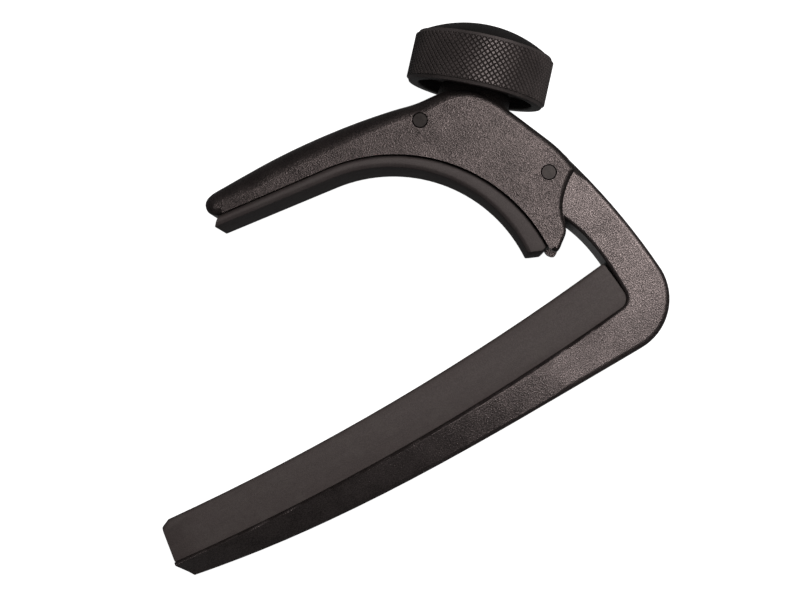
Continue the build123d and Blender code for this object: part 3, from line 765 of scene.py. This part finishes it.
@dataclass
class TensionKnob:
    """The knurled knob with its domed cap, and the screw it turns."""

    columns: int = 78
    rows: int = 8
    groove: float = 0.19 * MM
    land: float = 0.11 * MM
    lip: float = 0.34 * MM
    radius: float = 9.0 * MM
    height: float = 6.4 * MM
    recess_radius: float = 7.5 * MM
    recess: float = 1.35 * MM
    cap_radius: float = 8.5 * MM
    cap_sink: float = 1.0 * MM
    dome: float = 2.5 * MM
    screw_radius: float = 1.25 * MM
    thread_root: float = 1.02 * MM
    pitch: float = 0.45 * MM
    screw_end: float = -9.4 * MM
    cap_shade: float = 0.3
    tone: Colour = (0.062, 0.051, 0.050)
    place: Matrix = field(default_factory=screw_place)

    def make_rim(self) -> bpy.types.Object:
        """Cut the crossed knurl into the rim, then turn the recess and the cap's seat.

        Returns:
            The knob's rim.
        """
        low, high = self.lip, self.height - self.lip
        root = self.radius - self.groove - 0.01 * MM
        knob = Workpiece.cylinder("knurled_knob", root, low, high, self.columns)
        knob.edit(Part.EDGES)
        knob.pick_edges(lambda a, b: abs(a.z - b.z) > 1 * MM)
        bpy.ops.mesh.subdivide(number_cuts=self.rows - 1)
        bpy.ops.mesh.select_mode(type="FACE")
        knob.pick_faces(lambda c, n: abs(n.z) < 0.5)
        bpy.ops.mesh.poke()
        bpy.ops.mesh.select_mode(type="EDGE")
        margin = (high - low) * 0.01

        def straight(a: Vector, b: Vector) -> bool:
            """Whether an edge is one of the square net's, inside the band."""
            inside = low + margin < (a.z + b.z) / 2 < high - margin
            level = abs(a.z - b.z) < 1e-7
            upright = Vector((a.x - b.x, a.y - b.y)).length < 1e-6
            return inside and (level or upright)

        knob.pick_edges(straight)
        bpy.ops.mesh.dissolve_edges(use_verts=False, use_face_split=False)
        bpy.ops.mesh.select_mode(type="FACE")
        knob.pick_faces(lambda c, n: abs(n.z) < 0.5)
        bpy.ops.mesh.inset(thickness=self.land, depth=self.groove, use_individual=True)
        knob.pick_faces(lambda c, n: n.z > 0.9 and c.z > high - margin)
        knob.step(self.lip, (self.radius - self.lip * 1.1) / root)
        inner = self.cap_radius / (self.radius - self.lip * 1.1)
        knob.step(0.0, inner)
        knob.step(-self.cap_sink)
        knob.pick_faces(lambda c, n: n.z < -0.9 and c.z < low + margin)
        knob.step(-self.lip, (self.radius - self.lip * 1.1) / root)
        knob.step(0.0, self.recess_radius / (self.radius - self.lip * 1.1))
        knob.step(self.recess * 0.12, 0.985)
        knob.step(self.recess * 0.88)
        knob.step(0.0, 0.35)
        knob.done()
        knob.smooth(22)
        knob.stand(self.place)
        coat = PowderCoat("knob_coat", self.tone, grain=0.1 * MM, gloss=0.42, metal=0.55, depth=0.01 * MM)
        return knob.fit(Body.KNOB, ["knob"], "knob_coat", coat.material())

    def make_cap(self) -> bpy.types.Object:
        """Raise the smooth dome set in the knob's top.

        Returns:
            The cap.
        """
        rings = 14
        r = self.cap_radius - SLACK
        sphere = (r * r + self.dome * self.dome) / (2 * self.dome)
        sink = self.height - self.cap_sink + SLACK
        cap = Workpiece.cylinder("domed_cap", r, sink, self.height, 96)
        cap.edit(Part.FACES)
        cap.pick_faces(lambda c, n: n.z > 0.9)
        before, level = r, self.height
        for k in range(1, rings + 1):
            after = r * (1 - k / (rings + 0.6))
            top = self.height + self.dome - sphere + sqrt(sphere * sphere - after * after)
            cap.step(top - level, after / before)
            before, level = after, top
        bpy.ops.mesh.poke()
        cap.done()
        cap.modify("BEVEL", width=0.08 * MM, segments=2, limit_method="ANGLE", angle_limit=radians(40))
        cap.smooth(30)
        cap.stand(self.place)
        dark = tuple(c * self.cap_shade for c in self.tone)
        coat = PowderCoat("cap_coat", dark, grain=0.12 * MM, gloss=0.5, metal=0.9)
        return cap.fit(Body.KNOB, ["knob_cap"], "cap_coat", coat.material())

    def make_screw(self) -> bpy.types.Object:
        """Cut the thread as one ridge wound on the core.

        Returns:
            The screw.
        """
        top = self.recess + 0.4 * MM
        core = Workpiece.cylinder("threaded_screw", self.thread_root, self.screw_end, top, 32)
        core.modify("BEVEL", width=0.15 * MM, segments=2, limit_method="ANGLE", angle_limit=radians(60))
        root = self.thread_root - 0.03 * MM
        start = self.screw_end + self.pitch
        ridge = Workpiece.thread_section("thread_ridge", root, self.screw_radius, self.pitch, start)
        turns = int((top - start - self.pitch) / self.pitch)
        ridge.edit(Part.FACES)
        bpy.ops.mesh.select_all(action="SELECT")
        bpy.ops.mesh.delete(type="ONLY_FACE")
        ridge.done()
        ridge.modify(
            "SCREW",
            angle=2 * pi,
            screw_offset=self.pitch,
            iterations=turns,
            steps=24,
            render_steps=24,
            axis="Z",
        )
        ridge.close_ends()
        core.join(ridge)
        core.smooth(30)
        core.stand(self.place)
        steel = DrawnMetal("screw_steel", (0.42, 0.41, 0.39), 0.28)
        return core.fit(Body.KNOB, ["adjusting_screw"], "screw_steel", steel.material())


@dataclass
class LeverWorks:
    """The lever, barrel nut, spring and washers inside the jaw."""

    wire: float = 0.2 * MM
    coil: float = 2.05 * MM
    low: float = -3.75 * MM
    high: float = -0.3 * MM
    turns: float = 4.5
    closed: float = 0.65
    place: Matrix = field(default_factory=screw_place)

    def dress_nodes(self) -> None:
        """Finish the small pieces that the solids already show."""
        spin = tuple(joint("knob_spin")["pos_m"])
        along = tuple(joint("knob_spin")["axis"])
        pivot = tuple(joint("jaw_swing")["pos_m"])
        nut = tuple(joint("nut_swivel")["pos_m"])
        dress_node("tension_lever", DrawnMetal("lever_steel", (0.16, 0.15, 0.145), 0.4).material())
        brass = TurnedSteel("nut_brass", (0.62, 0.45, 0.2), nut, (0, 0, 1), 9 * MM, roughness=0.3)
        dress_node("barrel_nut", brass.material())
        bronze = TurnedSteel("bush_bronze", (0.5, 0.33, 0.17), pivot, (0, 0, 1), 9 * MM, roughness=0.36)
        dress_node("pivot_bush", bronze.material())
        nylon = FilledNylon("washer_nylon", (0.045, 0.042, 0.04)).material()
        for node in ("pivot_washer_front", "pivot_washer_back", "thrust_washer"):
            dress_node(node, nylon)
        seat = TurnedSteel("seat_steel", (0.4, 0.39, 0.37), spin, along, 9 * MM)
        dress_node("spring_seat", seat.material())
        stop = TurnedSteel("stop_steel", (0.3, 0.29, 0.28), spin, along, 9 * MM)
        dress_node("screw_stop", stop.material())

    def make_spring(self) -> bpy.types.Object:
        """Wind the opening spring round the screw.

        Returns:
            The spring, which rides on the jaw at one fixed length.
        """
        lift = self.high - self.low - 2 * self.wire
        spring = Workpiece.ring_section("wound_spring", self.wire, self.coil, self.low + self.wire, 12)
        spring.modify(
            "SCREW",
            angle=2 * pi * self.turns,
            screw_offset=lift,
            iterations=1,
            steps=135,
            render_steps=135,
            axis="Z",
        )
        spring.close_ends()
        spring.smooth(40)
        spring.stand(self.place)
        steel = DrawnMetal("spring_steel", (0.36, 0.35, 0.33), 0.26)
        piece = spring.fit(Body.JAW, ["opening_spring"], "spring_steel", steel.material())
        along = self.place.to_3x3() @ Vector((0, 0, 1))
        anchor = self.place @ Vector((0, 0, self.high))
        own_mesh(piece)
        return piece


# ---------------------------------------------------------------- studio
@dataclass
class Softbox:
    """One soft light, aimed at the capo."""

    name: str
    place: Point
    size: float
    power: float
    colour: Colour = (1.0, 0.98, 0.96)

    def make(self, aim: Vector) -> None:
        """Hang the light and turn it to the aim.

        Args:
            aim: The point it faces.
        """
        data = bpy.data.lights.new(self.name, "AREA")
        data.shape = "DISK"
        data.size = self.size
        data.energy = self.power
        data.color = self.colour
        lamp = bpy.data.objects.new(self.name, data)
        lamp.location = self.place
        lamp.rotation_euler = (aim - Vector(self.place)).to_track_quat("-Z", "Y").to_euler()
        bpy.context.scene.collection.objects.link(lamp)


@dataclass
class Studio:
    """White paper, soft light and the camera over the capo."""

    eye: Point = (10.33 * MM, -2.86 * MM, 240 * MM)
    target: Point = (7.48 * MM, 11.11 * MM, 0.0)
    up: Point = (0.5066, 0.8622, 0.0)
    focal: float = 85.0
    ambient: float = 0.14
    lights: tuple[Softbox, ...] = (
        Softbox("key_right", (0.128, 0.020, 0.250), 0.08, 0.42),
        Softbox("fill_above", (0.240, 0.080, 0.300), 0.20, 0.70),
    )

    def make_camera(self) -> None:
        """Stand the camera over the capo."""
        data = bpy.data.cameras.new("camera")
        data.lens = self.focal
        data.sensor_width = 36.0
        data.clip_start = 0.005
        camera = bpy.data.objects.new("camera", data)
        back = (Vector(self.eye) - Vector(self.target)).normalized()
        right = Vector(self.up).cross(back).normalized()
        up = back.cross(right)
        turn = Matrix((right, up, back)).transposed().to_4x4()
        camera.matrix_world = Matrix.Translation(Vector(self.eye)) @ turn
        bpy.context.scene.collection.objects.link(camera)
        bpy.context.scene.camera = camera

    def make_floor(self) -> None:
        """Lay the paper under the lowest point. It neither lights the capo nor shows in it."""
        bpy.ops.object.select_all(action="DESELECT")
        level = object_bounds()[0][2]
        bpy.ops.mesh.primitive_plane_add(size=3.0, location=(0, 0, level))
        floor = bpy.context.object
        floor.name = "paper_floor"
        paint(floor, PaperFloor().material())
        floor.visible_diffuse = False
        floor.visible_glossy = False
        floor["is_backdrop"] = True

    def make_light(self) -> None:
        """Hang the lights and set the white surroundings."""
        for softbox in self.lights:
            softbox.make(Vector(self.target))
        world = bpy.data.worlds.new("white_room")
        world.use_nodes = True
        ground = world.node_tree.nodes["Background"]
        ground.inputs[0].default_value = (1.0, 1.0, 1.0, 1.0)
        ground.inputs[1].default_value = self.ambient
        bpy.context.scene.world = world
        bpy.context.scene.view_settings.view_transform = "Standard"


def main() -> None:
    """Build the studio and the capo's pieces in order."""
    logging.basicConfig(level=logging.INFO, format="%(name)s %(message)s")
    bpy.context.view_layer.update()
    studio = Studio()
    studio.make_camera()
    studio.make_floor()
    studio.make_light()
    bar = StringBar()
    bar.dress_frame()
    bar.make_pad()
    jaw = PaddedJaw()
    jaw.dress_shell()
    jaw.dress_pins()
    jaw.make_pad()
    knob = TensionKnob()
    knob.make_rim()
    knob.make_cap()
    knob.make_screw()
    works = LeverWorks()
    works.dress_nodes()
    works.make_spring()


if __name__ == "__main__":
    main()
